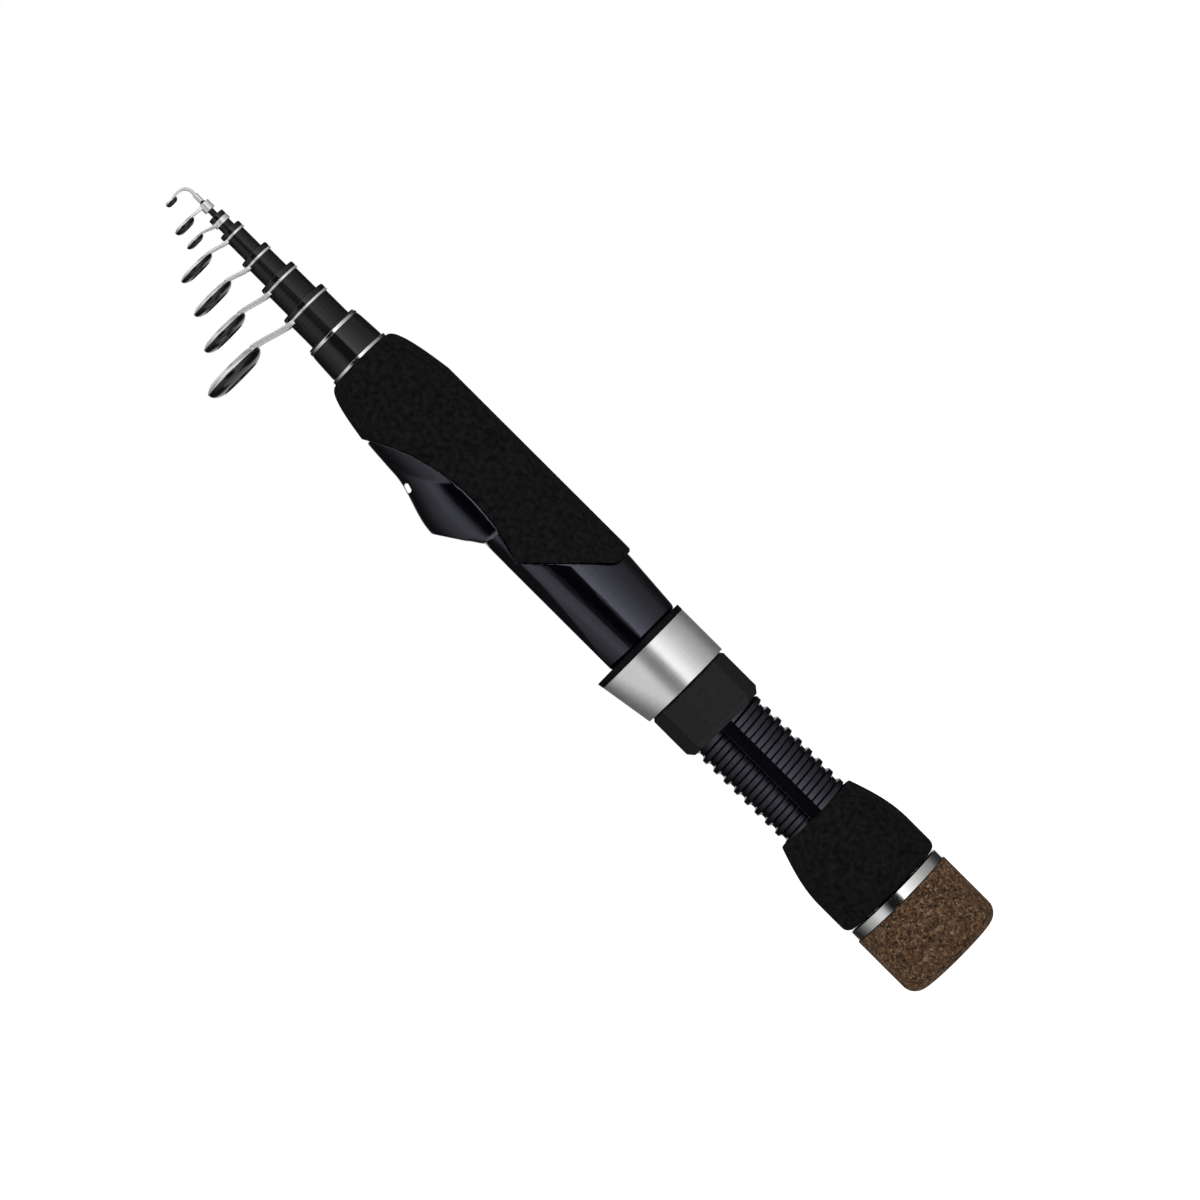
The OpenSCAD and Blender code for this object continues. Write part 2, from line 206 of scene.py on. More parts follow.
floor_paint = bpy.data.materials.new("pale_floor")
floor_paint.use_nodes = True
tree = floor_paint.node_tree
floor_shader = tree.nodes["Principled BSDF"]
floor_shader.inputs["Base Color"].default_value = grey(0.85)
floor_shader.inputs["Roughness"].default_value = 0.9
floor_shader.inputs["Specular IOR Level"].default_value = 0.0
floor_shader.inputs["Emission Color"].default_value = grey(1)
put(tree, sums(tree, "MULTIPLY", seen_directly(tree), FLOOR_GLOW), floor_shader.inputs["Emission Strength"])

bm = bmesh.new()
bmesh.ops.create_grid(bm, x_segments=2, y_segments=2, size=FLOOR_SIZE / 2)
bmesh.ops.translate(bm, verts=bm.verts, vec=(0, 0, -FLOOR_DROP * MM))
floor = solid("floor", bm, floor_paint)
floor.visible_glossy = False
floor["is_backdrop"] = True
print("floor of", FLOOR_SIZE, "m, world level", WORLD_LEVEL)


# %% Screen round the object
def only(kind, geom):
    """The parts of one kind among what an operator made."""
    return [part for part in geom if isinstance(part, kind)]


SCREEN_RADIUS, SCREEN_FOOT, SCREEN_TOP = 1.2, -1.6, 2.4
SCREEN_STOPS = [
    (-180, 0.75), (-164, 0.75), (-159, 0.02), (-130, 0.02), (-113, 0.07), (-100, 0.17), (-84, 0.34),
    (-70, 0.46), (-58, 0.66), (-48, 0.66), (-39, 0.48), (-31, 0.10), (-24, 0.006), (3, 0.006), (6, 1.55),
    (12, 1.30), (18, 1.12), (24, 0.98), (32, 0.84), (41, 0.70), (50, 0.60), (60, 0.48), (70, 0.38),
    (85, 0.30), (100, 0.22), (113, 0.09), (130, 0.03), (159, 0.02), (164, 0.75), (180, 0.75),
]
screen_paint = bpy.data.materials.new("studio_screen")
screen_paint.use_nodes = True
tree = screen_paint.node_tree
tree.nodes.remove(tree.nodes["Principled BSDF"])
place = add(tree, "SeparateXYZ", Vector=add(tree, "TexCoord").outputs["Object"]).outputs
turn = sums(tree, "ARCTAN2", place["X"], sums(tree, "MULTIPLY", place["Y"], -1.0))
share = add(tree, "MapRange", Value=turn, From_Min=-math.pi, From_Max=math.pi).outputs[0]
shades = ramp(tree, share, [((angle + 180) / 360, grey(shade)) for angle, shade in SCREEN_STOPS])
glow = add(tree, "Emission", Color=shades)
put(tree, glow.outputs[0], tree.nodes["Material Output"].inputs["Surface"])

bm = bmesh.new()
foot = bmesh.ops.create_circle(bm, segments=180, radius=SCREEN_RADIUS)["verts"]
bmesh.ops.translate(bm, verts=foot, vec=(0, 0, SCREEN_FOOT))
wall = bmesh.ops.extrude_edge_only(bm, edges=bm.edges[:])["geom"]
bmesh.ops.translate(bm, verts=only(BMVert, wall), vec=(0, 0, SCREEN_TOP - SCREEN_FOOT))
screen = solid("studio_screen", bm, screen_paint)
screen.visible_camera = False
screen.visible_diffuse = False
screen.visible_shadow = False
screen.visible_transmission = False
screen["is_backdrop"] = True
print("screen with", len(SCREEN_STOPS), "stops round the object")

# %% [markdown]
# ## Lamps
# Two wide area lamps stand to the left and right of the camera, above the rod's middle, and a weak one
# comes from behind. They are large for their distance, so their shadows are soft. Reflections see the screen
# instead of the lamps, so a lamp's outline never shows on the metal.

# %% Lamps
LAMPS = {
    "key_lamp": ((1.1, -1.5, 1.1), 1.2, 7.0),
    "fill_lamp": ((-1.3, -1.4, 0.8), 1.2, 4.5),
    "back_lamp": ((0.3, 1.7, 1.2), 1.2, 3.5),
}
for lamp_name, (lamp_place, size, watts) in LAMPS.items():
    light = bpy.data.lights.new(lamp_name, "AREA")
    light.size = size
    light.energy = watts
    lamp = bpy.data.objects.new(lamp_name, light)
    lamp.location = lamp_place
    lamp.rotation_euler = (AIM - lamp.location).to_track_quat("-Z", "Y").to_euler()
    lamp.visible_glossy = False
    scene.collection.objects.link(lamp)
print("lamps", len(LAMPS))

# %% [markdown]
# ## Effects that several finishes share
# Some effects turn up on more than one part: fingers leave duller patches on anything smooth, a lathe leaves
# fine rings on turned metal, thread is wound in even turns under varnish, and foam and cork are full of small
# pores. Each is a node group, built once, with its scale and strength as named inputs, and each part then
# sets its own values. A group gives back only colours or values, and the shader stays in the material.


# %% Node groups
def effect(name, inputs, outputs):
    """Starts a node group with named sockets and gives back the group and its two end nodes."""
    group = bpy.data.node_groups.new(name, "ShaderNodeTree")
    for title, kind, value in inputs:
        socket = group.interface.new_socket(title, in_out="INPUT", socket_type="NodeSocket" + kind)
        if value is not None:
            socket.default_value = value
    for title in outputs:
        group.interface.new_socket(title, in_out="OUTPUT", socket_type="NodeSocketFloat")
    return group, group.nodes.new("NodeGroupInput").outputs, group.nodes.new("NodeGroupOutput").inputs


def handling_group():
    """Roughness that wanders a little, as on a surface that hands have touched."""
    group, given, made = effect("handling", [
        ("Vector", "Vector", None), ("Patch", "Float", 120.0), ("Roughness", "Float", 0.3),
        ("Spread", "Float", 0.1),
    ], ["Roughness"])
    patches = add(group, "TexNoise", Vector=given["Vector"], Scale=given["Patch"], Detail=5.0, Roughness=0.6)
    centred = sums(group, "SUBTRACT", patches.outputs["Fac"], 0.5)
    wander = sums(group, "MULTIPLY", centred, given["Spread"])
    put(group, sums(group, "ADD", given["Roughness"], wander), made["Roughness"])
    return group


def turning_group():
    """Fine rings round the rod's axis, as a lathe or a polishing belt leaves them."""
    group, given, made = effect("turning_marks", [
        ("Vector", "Vector", None), ("Lines", "Float", 4000.0), ("Streak", "Float", 1.5),
    ], ["Height"])
    part = add(group, "SeparateXYZ", Vector=given["Vector"]).outputs
    turn = sums(group, "ARCTAN2", part["Y"], part["X"])
    squares = [sums(group, "POWER", part[axis], 2.0) for axis in "XY"]
    spread = sums(group, "POWER", sums(group, "ADD", *squares), 0.5)
    unrolled = add(group, "CombineXYZ", X=sums(group, "MULTIPLY", turn, given["Streak"]),
                   Y=sums(group, "MULTIPLY", part["Z"], given["Lines"]),
                   Z=sums(group, "MULTIPLY", spread, given["Lines"]))
    lines = add(group, "TexNoise", Vector=unrolled.outputs[0], Scale=1.0, Detail=3.0)
    put(group, lines.outputs["Fac"], made["Height"])
    return group


def winding_group():
    """Turns of thread wound side by side; Shade darkens the groove between two turns, as painted shade."""
    group, given, made = effect("windings", [
        ("Vector", "Vector", None), ("Thread", "Float", 0.0002),
    ], ["Height", "Shade"])
    part = add(group, "SeparateXYZ", Vector=given["Vector"]).outputs
    turns = sums(group, "DIVIDE", part["Z"], given["Thread"])
    wave = sums(group, "ABSOLUTE", sums(group, "SINE", sums(group, "MULTIPLY", turns, math.pi)))
    fibres = add(group, "TexNoise", Vector=given["Vector"], Scale=2500.0, Detail=2.0)
    put(group, wave, made["Height"])
    # Shade is the fibres' own tone, darkened towards the groove between two turns: painted shade.
    put(group, sums(group, "MULTIPLY", wave, fibres.outputs["Fac"]), made["Shade"])
    return group


def pore_group():
    """Small open cells, as cut foam and ground cork show them."""
    group, given, made = effect("pores", [
        ("Vector", "Vector", None), ("Cells", "Float", 1800.0),
    ], ["Depth", "Mottle"])
    cells = add(group, "TexVoronoi", Vector=given["Vector"], Scale=given["Cells"])
    coarser = sums(group, "MULTIPLY", given["Cells"], 0.35)
    mottle = add(group, "TexNoise", Vector=given["Vector"], Scale=coarser, Detail=4.0)
    put(group, cells.outputs["Distance"], made["Depth"])
    put(group, mottle.outputs["Fac"], made["Mottle"])
    return group


HANDLING, TURNING, WINDINGS, PORES = handling_group(), turning_group(), winding_group(), pore_group()


def use(tree, group, **sockets):
    """Places a node group in a material and gives back its outputs."""
    return add(tree, "Group", {"node_tree": group}, **sockets).outputs


print("effects", [g.name for g in (HANDLING, TURNING, WINDINGS, PORES)])

# %% [markdown]
# ## How a finish starts
# Every finish is one Principled shader. What is the same all over a surface, such as how much it mirrors, is
# set on the shader's own sockets. What changes over it, such as colour or bumps, comes from textures in the
# piece's own coordinates, which are metres here because no piece is scaled.


# %% Start of a finish
def finish(name, colour, roughness, **sockets):
    """Starts a material and gives back it, its tree, its shader and the piece's coordinates."""
    material = bpy.data.materials.new(name)
    material.use_nodes = True
    tree = material.node_tree
    shader = tree.nodes["Principled BSDF"]
    shader.inputs["Base Color"].default_value = (*colour, 1)
    shader.inputs["Roughness"].default_value = roughness
    for title, value in sockets.items():
        shader.inputs[title.replace("_", " ")].default_value = value
    return material, tree, shader, add(tree, "TexCoord").outputs["Object"]


def bumps(tree, shader, height, depth_mm, strength=1.0):
    """Raises the surface by a height from 0 to 1, at most depth_mm, in its shading."""
    bump = add(tree, "Bump", Height=height, Distance=depth_mm * MM, Strength=strength)
    put(tree, bump.outputs["Normal"], shader.inputs["Normal"])


def handled(tree, shader, coords, roughness, spread, patch):
    """Lets the shader's roughness wander as on a handled surface."""
    touched = use(tree, HANDLING, Vector=coords, Roughness=roughness, Spread=spread, Patch=patch)
    put(tree, touched["Roughness"], shader.inputs["Roughness"])


def paint(tree, shader, value, stops):
    """Colours the shader by a value, through a ramp of (place, colour) stops."""
    put(tree, ramp(tree, value, stops), shader.inputs["Base Color"])


def tinted(colour, factor):
    """A darker or lighter shade of a colour, for a ramp."""
    return (*[min(1, level * factor) for level in colour], 1)


def speckled(name, colour, roughness, noise, stops, bump, touch, **sockets):
    """A finish whose colour and bumps follow one noise, and whose roughness wanders by touch."""
    material, tree, shader, coords = finish(name, colour, roughness, **sockets)
    specks = add(tree, "TexNoise", Vector=coords, **noise).outputs["Fac"]
    paint(tree, shader, specks, stops)
    if bump:
        bumps(tree, shader, specks, *bump)
    handled(tree, shader, coords, roughness, *touch)
    return material


# %% [markdown]
# ## Cork, foam and rubber
# The butt cap is rubberised cork: ground cork and black rubber pressed into a block, so its cells are brown,
# tan or black at random. A Voronoi texture gives each cell one colour, a second and finer one breaks the
# cells up, and the dark seams between them come from the distance to the cell's edge. Noise shifts the
# coordinates first, so the grains have torn edges in place of straight ones.
#
# The grips are closed-cell foam, near black and almost without shine. Its pores are finer than a millimetre,
# so they show as a slight tooth in close light and vanish further off.


# %% Cork and foam
def cork_finish():
    material, tree, shader, coords = finish("rubber_cork", (0.08, 0.05, 0.03), 0.85, Specular_IOR_Level=0.25)
    wobble = add(tree, "TexNoise", Vector=coords, Scale=1600.0, Detail=3.0).outputs["Color"]
    shift = add(tree, "VectorMath", {"operation": "MULTIPLY_ADD"})
    put(tree, wobble, shift.inputs[0])
    put(tree, (0.0007, 0.0007, 0.0007), shift.inputs[1])
    put(tree, coords, shift.inputs[2])
    torn = shift.outputs[0]
    grains = add(tree, "TexVoronoi", Vector=torn, Scale=1500.0)
    crumbs = add(tree, "TexVoronoi", Vector=torn, Scale=3000.0)
    edges = add(tree, "TexVoronoi", {"feature": "DISTANCE_TO_EDGE"}, Vector=torn, Scale=1500.0)
    tints = [(0.0, (0.008, 0.005, 0.003, 1)), (0.18, (0.015, 0.008, 0.005, 1)),
             (0.28, (0.062, 0.030, 0.014, 1)), (0.5, (0.117, 0.057, 0.027, 1)),
             (0.68, (0.152, 0.075, 0.036, 1)), (0.82, (0.215, 0.119, 0.059, 1)),
             (0.93, (0.29, 0.177, 0.095, 1)), (1.0, (0.37, 0.245, 0.14, 1))]
    pick = add(tree, "SeparateColor", Color=grains.outputs["Color"]).outputs["Red"]
    fine_pick = add(tree, "SeparateColor", Color=crumbs.outputs["Color"]).outputs["Green"]
    cells = mixed(tree, 0.42, ramp(tree, pick, tints), ramp(tree, fine_pick, tints))
    seams = ramp(tree, edges.outputs["Distance"], [(0.0, grey(0.55)), (0.12, grey(1.0)), (1.0, grey(1.0))])
    put(tree, mixed(tree, 1.0, cells, seams, "MULTIPLY"), shader.inputs["Base Color"])
    pores = use(tree, PORES, Vector=coords, Cells=2300.0)
    bumps(tree, shader, sums(tree, "ADD", edges.outputs["Distance"], pores["Depth"]), 0.16, 0.7)
    handled(tree, shader, coords, 0.82, 0.2, 400.0)
    return material


def foam_finish():
    material, tree, shader, coords = finish("closed_cell_foam", (0.006, 0.006, 0.0065), 0.9,
                                            Specular_IOR_Level=0.03)
    pores = use(tree, PORES, Vector=coords, Cells=2100.0)
    paint(tree, shader, pores["Mottle"], [(0.32, (0.0045, 0.0045, 0.0049, 1)),
                                          (0.68, (0.0134, 0.0133, 0.0142, 1))])
    bumps(tree, shader, pores["Depth"], 0.09, 0.6)
    handled(tree, shader, coords, 0.88, 0.12, 90.0)
    return material


def rubber_finish():
    material, tree, shader, coords = finish("soft_rubber", (0.012, 0.012, 0.012), 0.7, Specular_IOR_Level=0.3)
    pores = use(tree, PORES, Vector=coords, Cells=3000.0)
    paint(tree, shader, pores["Mottle"], [(0.3, grey(0.009)), (0.7, grey(0.016))])
    bumps(tree, shader, pores["Mottle"], 0.05, 0.5)
    handled(tree, shader, coords, 0.7, 0.2, 300.0)
    return material


CORK, FOAM, RUBBER = cork_finish(), foam_finish(), rubber_finish()
print("soft finishes", CORK.name, FOAM.name, RUBBER.name)

# %% [markdown]
# ## Metals
# The sliding hood is satin aluminium: rough enough to blur a reflection into broad bands, with the fine rings
# of the belt that finished it. Its anodised skin also scatters some light, so it isn't wholly metallic. The
# trim rings are turned and polished, so they mirror the dark gap in the screen sharply. The guides are drawn
# steel wire and strip, with no turning but with fine scratches.


# %% Metals
def turned_metal(name, colour, roughness, spread, lines, depth_mm, metallic):
    material, tree, shader, coords = finish(name, colour, roughness, Metallic=metallic)
    marks = use(tree, TURNING, Vector=coords, Lines=lines)["Height"]
    paint(tree, shader, marks, [(0.25, tinted(colour, 0.9)), (0.75, tinted(colour, 1.06))])
    bumps(tree, shader, marks, depth_mm, 0.5)
    handled(tree, shader, coords, roughness, spread, 160.0)
    return material


SATIN = turned_metal("satin_aluminium", (0.95, 0.94, 0.935), 0.3, 0.10, 5000.0, 0.010, 0.82)
BRIGHT = turned_metal("polished_aluminium", (0.92, 0.915, 0.905), 0.14, 0.06, 7000.0, 0.0005, 1.0)
STEEL = speckled("drawn_steel", (0.95, 0.95, 0.95), 0.4, {"Scale": 5200.0, "Detail": 4.0, "Distortion": 0.6},
                 [(0.3, grey(0.91)), (0.7, grey(0.97))], (0.0006, 0.2), (0.1, 700.0), Metallic=0.72)
print("metals", SATIN.name, BRIGHT.name, STEEL.name)

# %% [markdown]
# ## Plastics, varnish and the sections
# The reel seat is glossy black plastic with a faint blue cast. The lock nut and the hood's liner came from a
# spark-eroded mould, so they are dull with a fine even tooth. The sections are wound from carbon cloth, and a
# crossed pattern of tapes shows faintly under the clear coat: the angle round the rod and the height along it
# give the two directions of the tapes.


# %% Plastics
def moulded_finish(name, colour, roughness, tooth_mm, shine):
    """Dull plastic with the even tooth of its mould."""
    return speckled(name, colour, roughness, {"Scale": 2400.0, "Detail": 4.0, "Roughness": 0.7},
                    [(0.3, tinted(colour, 0.4)), (0.7, tinted(colour, 1.75))], (tooth_mm, 0.5), (0.16, 260.0),
                    Specular_IOR_Level=shine)


def varnish_finish():
    material, tree, shader, coords = finish("varnished_winding", (0.004, 0.004, 0.005), 0.5,
                                            Coat_Weight=0.9, Coat_Roughness=0.09, Specular_IOR_Level=0.1)
    thread = use(tree, WINDINGS, Vector=coords, Thread=0.00022)
    # Painted shade: the winding's colour is darker in the grooves between its turns, over the fibres' own
    # tone.
    paint(tree, shader, thread["Shade"], [(0.1, (0.0018, 0.0018, 0.0024, 1)),
                                          (0.6, (0.006, 0.006, 0.0075, 1))])
    bumps(tree, shader, thread["Height"], 0.03, 0.5)
    handled(tree, shader, coords, 0.5, 0.1, 300.0)
    return material


def section_finish():
    material, tree, shader, coords = finish("carbon_section", (0.006, 0.006, 0.008), 0.4,
                                            Coat_Weight=0.3, Coat_Roughness=0.14, Specular_IOR_Level=0.25)
    part = add(tree, "SeparateXYZ", Vector=coords).outputs
    turn = sums(tree, "MULTIPLY", sums(tree, "ARCTAN2", part["Y"], part["X"]), 14.0)
    climb = sums(tree, "MULTIPLY", part["Z"], 14.0 / 0.005)
    tapes = [sums(tree, "SINE", sums(tree, kind, turn, climb)) for kind in ("ADD", "SUBTRACT")]
    crossed = sums(tree, "MULTIPLY", tapes[0], tapes[1])
    paint(tree, shader, sums(tree, "ADD", sums(tree, "MULTIPLY", crossed, 0.5), 0.5),
          [(0.2, (0.0045, 0.0045, 0.006, 1)), (0.8, (0.0095, 0.0095, 0.012, 1))])
    bumps(tree, shader, crossed, 0.008, 0.25)
    handled(tree, shader, coords, 0.38, 0.14, 240.0)
    return material


VARNISH, SECTION = varnish_finish(), section_finish()
SEAT = speckled("gloss_seat_plastic", (0.0013, 0.0013, 0.0026), 0.1, {"Scale": 260.0, "Detail": 3.0},
                [(0.3, (0.0010, 0.0010, 0.0021, 1)), (0.7, (0.0017, 0.0017, 0.0032, 1))], (0.002, 0.2),
                (0.07, 220.0), Specular_IOR_Level=0.95, Specular_Tint=(0.80, 0.81, 1.0, 1))
CERAMIC = speckled("black_ceramic", (0.006, 0.006, 0.0065), 0.16, {"Scale": 1500.0, "Detail": 2.0},
                   [(0.3, grey(0.0048)), (0.7, grey(0.008))], None, (0.1, 500.0), Specular_IOR_Level=0.5)
NUT = moulded_finish("dull_nut_plastic", (0.0105, 0.0103, 0.012), 0.5, 0.05, 0.28)
LINER = moulded_finish("satin_liner_plastic", (0.0030, 0.0030, 0.0036), 0.4, 0.03, 0.10)
INNER = moulded_finish("plain_inner_plastic", (0.022, 0.022, 0.024), 0.5, 0.03, 0.35)
print("plastics", [m.name for m in (SEAT, NUT, LINER, INNER, CERAMIC, VARNISH, SECTION)])

# %% [markdown]
# ## Small tools for meshes
# Most of the rod is turned, so most pieces are an outline that is spun round an axis. A few are lofted: a
# closed loop of points is extruded step by step, and each new loop is set to its own outline. Sharp rims are
# then broken with a small bevel, because a real edge always catches a line of light.


# %% Tools for meshes
def turned(outline, steps=144, axis_x=0.0, closed=True):
    """Spins an outline of (radius, height) points in millimetres about a line along Z."""
    bm = bmesh.new()
    points = [bm.verts.new(((axis_x + r) * MM, 0, z * MM)) for r, z in outline]
    ends = points[1:] + points[:1] if closed else points[1:]
    lines = [bm.edges.new(pair) for pair in zip(points, ends)]
    bmesh.ops.spin(bm, geom=points + lines, cent=(axis_x * MM, 0, 0), axis=(0, 0, 1), angle=2 * math.pi,
                   steps=steps, use_merge=True)
    clean(bm)
    return bm


def clean(bm):
    """Merges doubles and turns all faces outwards."""
    bmesh.ops.remove_doubles(bm, verts=bm.verts, dist=1e-7)
    bmesh.ops.recalc_face_normals(bm, faces=bm.faces)


def soften(bm, width_mm, over_degrees=28):
    """Bevels every edge that is sharper than an angle."""
    least = math.radians(over_degrees)
    sharp = [e for e in bm.edges if len(e.link_faces) == 2 and e.calc_face_angle() > least]
    bmesh.ops.bevel(bm, geom=sharp, offset=width_mm * MM, offset_type="OFFSET", affect="EDGES",
                    segments=3, profile=0.5, material=-1, clamp_overlap=True)
    return bm


def loft(outlines, steps=192):
    """Extrudes a loop through outlines, each a function of the angle, and joins the last to the first."""
    bm = bmesh.new()
    angle_of = bm.verts.layers.float.new("angle")
    loop = bmesh.ops.create_circle(bm, segments=steps, radius=1)["verts"]
    for v in loop:
        v[angle_of] = math.atan2(v.co.y, v.co.x)
        v.co = outlines[0](v[angle_of])
    first = last = bm.edges[:]
    for outline in outlines[1:]:
        made = bmesh.ops.extrude_edge_only(bm, edges=last)["geom"]
        last = only(BMEdge, made)
        for v in only(BMVert, made):
            v.co = outline(v[angle_of])
    bmesh.ops.bridge_loops(bm, edges=first + last)
    bm.verts.layers.float.remove(angle_of)
    clean(bm)
    return bm


def piece(name, bm, material, body, slot, *stands_for, smooth_under=40):
    """Makes a bmesh a piece of the object: it rides on a body and stands for CAD nodes.

    Edges under the angle are shaded smooth. With no angle, the bmesh's own sharp edges stay.
    """
    made = solid(name, bm, material)
    made.data.shade_smooth()
    if smooth_under:
        made.data.set_sharp_from_angle(angle=math.radians(smooth_under))
    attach(made, body)
    if stands_for:
        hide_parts(*stands_for)
    return made


def low(node):
    """Lowest corner of a node, in millimetres."""
    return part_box(node)[0] / MM


def high(node):
    """Highest corner of a node, in millimetres."""
    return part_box(node)[1] / MM


def arc(x, z, radius, start, end, count):
    """Points on an arc, from one angle to another, in degrees."""
    angles = [math.radians(start + (end - start) * i / count) for i in range(count + 1)]
    return [(x + radius * math.cos(a), z + radius * math.sin(a)) for a in angles]


# %% [markdown]
# ## The butt
# The cork cap is turned from a block: flat where it stands, with a wide round edge below and a small one
# above. Its plug is glued in and screws into the first section. The thread on the plug is made with a spin
# that also climbs: one pitch of the thread's outline is swept round, and after each turn its foot meets the
# head of the turn before, so merging doubles closes the skin.

# %% Butt cap and trim ring
CAP_EDGE, CAP_RIM, BOND, RING_BORE = 4.0, 0.25, 0.02, 6.15
cap_r, cap_h = high("butt_cap").y, high("butt_cap").z
plug_r, plug_z = high("cap_plug").y, low("cap_plug").z
cap_outline = ([(0, 0)] + arc(cap_r - CAP_EDGE, CAP_EDGE, CAP_EDGE, -90, 0, 14)
               + arc(cap_r - CAP_RIM, cap_h - CAP_RIM, CAP_RIM, 0, 90, 4)
               + [(plug_r + BOND, cap_h), (plug_r + BOND, plug_z - BOND), (0, plug_z - BOND)])
piece("cork_cap", turned(cap_outline, closed=False), CORK, "butt_cap", "cork", "butt_cap")

ring_r = high("butt_ring").y
ring_foot, ring_head = low("butt_ring").z, high("butt_ring").z
ring_outline = [(RING_BORE, ring_foot), (ring_r, ring_foot), (ring_r, ring_head), (RING_BORE, ring_head)]
piece("trim_ring", soften(turned(ring_outline), 0.18), BRIGHT, "butt_ring", "bright_metal", "butt_ring")
print("cap", round(cap_r, 2), "x", round(cap_h, 2), "mm, ring", round(ring_head - ring_foot, 2), "mm")


# %% Screw threads
def cut_at(bm, place, normal, **sides):
    """Cuts a bmesh along a plane, and gives back what lies on the cut."""
    whole = bm.verts[:] + bm.edges[:] + bm.faces[:]
    cut = bmesh.ops.bisect_plane(bm, geom=whole, dist=1e-7, plane_co=place, plane_no=normal, **sides)
    return cut["geom_cut"]


def screw_thread(crest, root, bore, pitch, foot, thread_head, head, steps=96):
    """A sleeve with a right-hand thread from foot to thread_head and plain from there on, in millimetres."""
    flank = [(0.0, 0.0), (0.1, 0.05), (0.5, 0.5), (0.9, 0.95), (1.0, 1.0)]
    rise = [(root + (crest - root) * lift, pitch * (0.17 + 0.16 * run)) for run, lift in flank]
    fall = [(r, pitch - z) for r, z in reversed(rise)]
    outline = [(root, 0.0)] + rise + fall + [(root, pitch)]
    turns = math.ceil((thread_head - foot) / pitch) + 2
    bm = bmesh.new()
    points = [bm.verts.new((r * MM, 0, (foot - pitch + z) * MM)) for r, z in outline]
    lines = [bm.edges.new(pair) for pair in zip(points, points[1:])]
    bmesh.ops.spin(bm, geom=points + lines, axis=(0, 0, 1), dvec=(0, 0, pitch * MM / steps),
                   angle=2 * math.pi * turns, steps=steps * turns)
    bmesh.ops.remove_doubles(bm, verts=bm.verts, dist=1e-6)
    for height, below in ((foot, True), (thread_head, False)):
        cut_at(bm, (0, 0, height * MM), (0, 0, 1), clear_inner=below, clear_outer=not below)
    rim = [e for e in bm.edges if e.is_boundary]
    foot_rim = [e for e in rim if e.verts[0].co.z < (foot + pitch / 2) * MM]
    last = [e for e in rim if e not in foot_rim]
    for radius, height in ((root, thread_head), (root, head), (bore, head), (bore, foot)):
        made = bmesh.ops.extrude_edge_only(bm, edges=last)["geom"]
        last = only(BMEdge, made)
        for v in only(BMVert, made):
            flat = v.co.xy.normalized() * radius * MM
            v.co = (flat.x, flat.y, height * MM)
    bmesh.ops.bridge_loops(bm, edges=foot_rim + last)
    clean(bm)
    return bm


def joined(first, second):
    """Adds a second bmesh to a first one, as one moulding."""
    carrier = bpy.data.meshes.new("carrier")
    second.to_mesh(carrier)
    second.free()
    first.from_mesh(carrier)
    bpy.data.meshes.remove(carrier)
    return first


# %% Plug and cushion
SPIGOT_R, SPIGOT_ROOT, SPIGOT_BORE, PLUG_PITCH = 6.0, 5.45, 3.0, 2.5
plug_head = high("cap_plug").z
plug_outline = [(0, plug_z), (plug_r, plug_z), (plug_r, cap_h), (0, cap_h)]
plug = soften(turned(plug_outline, closed=False), 0.2)
spigot = screw_thread(SPIGOT_R, SPIGOT_ROOT, SPIGOT_BORE, PLUG_PITCH, cap_h - 0.3, plug_head - 1.2, plug_head)
piece("cap_plug_screw", joined(plug, spigot), INNER, "butt_cap", "plain_plastic", "cap_plug")

cushion_r, cushion_z, cushion_top = high("cap_cushion").y, low("cap_cushion").z, high("cap_cushion").z
CUSHION_CROWN, CUSHION_EDGE, CUSHION_FOOT = 0.35, 0.8, 0.4
crown_r = cushion_r - CUSHION_EDGE
crown = [(crown_r * math.cos(a), cushion_top - CUSHION_CROWN * (1 - math.sin(a)))
         for a in [math.radians(step) for step in range(0, 91, 15)]]
cushion_outline = ([(0, cushion_z)]
                   + arc(cushion_r - CUSHION_FOOT, cushion_z + CUSHION_FOOT, CUSHION_FOOT, -90, 0, 4)
                   + arc(crown_r, cushion_top - CUSHION_CROWN - CUSHION_EDGE, CUSHION_EDGE, 0, 90, 6)[:-1]
                   + crown[:-1] + [(0, cushion_top)])
cushion_skin = turned(cushion_outline, closed=False)
cushion = piece("rest_cushion", cushion_skin, RUBBER, "butt_cap", "foam", "cap_cushion")
print("plug thread of", PLUG_PITCH, "mm pitch, cushion", round(cushion_top - cushion_z, 2), "mm thick")

# %% [markdown]
# ## Foam grips
# A foam grip is cut and sanded from a block, so its edges are soft and its skin is even. The frame's solid
# has the right outline, with knife-sharp edges. A copy of it is merged, remeshed into even cells, and
# smoothed: that rounds each edge by about half a millimetre and leaves the rest where it was. The front grip
# ends in a slanted thin edge, which takes finer cells to come out even. The cells are far more than the
# shape needs then, so they are thinned out.


# %% Rounding a copy of a solid
def discard(thing):
    """Removes an object and its mesh."""
    mesh = thing.data
    bpy.data.objects.remove(thing)
    bpy.data.meshes.remove(mesh)


def through_modifiers(bm, *steps, group=()):
    """Runs a bmesh through modifiers, each (kind, settings), and gives back the result as a new bmesh."""
    block = solid("block", bm)
    block.vertex_groups.new(name="group").add(list(group), 1.0, "REPLACE")
    for kind, settings in steps:
        step = block.modifiers.new(kind, kind)
        for setting, value in settings.items():
            setattr(step, setting, value)
    result = bmesh.new()
    result.from_object(block, bpy.context.evaluated_depsgraph_get())
    discard(block)
    return result


def merged_copy(node):
    """A copy of a node's mesh, with its loose triangles joined up."""
    bm = bmesh.new()
    bm.from_mesh(nodes[node].data)
    bmesh.ops.remove_doubles(bm, verts=bm.verts, dist=1e-6)
    return bm


def rounded(bm, cell_mm, rounds):
    """Remeshes a closed shape into even cells and smooths it."""
    return through_modifiers(bm, ("REMESH", {"mode": "VOXEL", "voxel_size": cell_mm * MM}),
                             ("SMOOTH", {"iterations": rounds}))


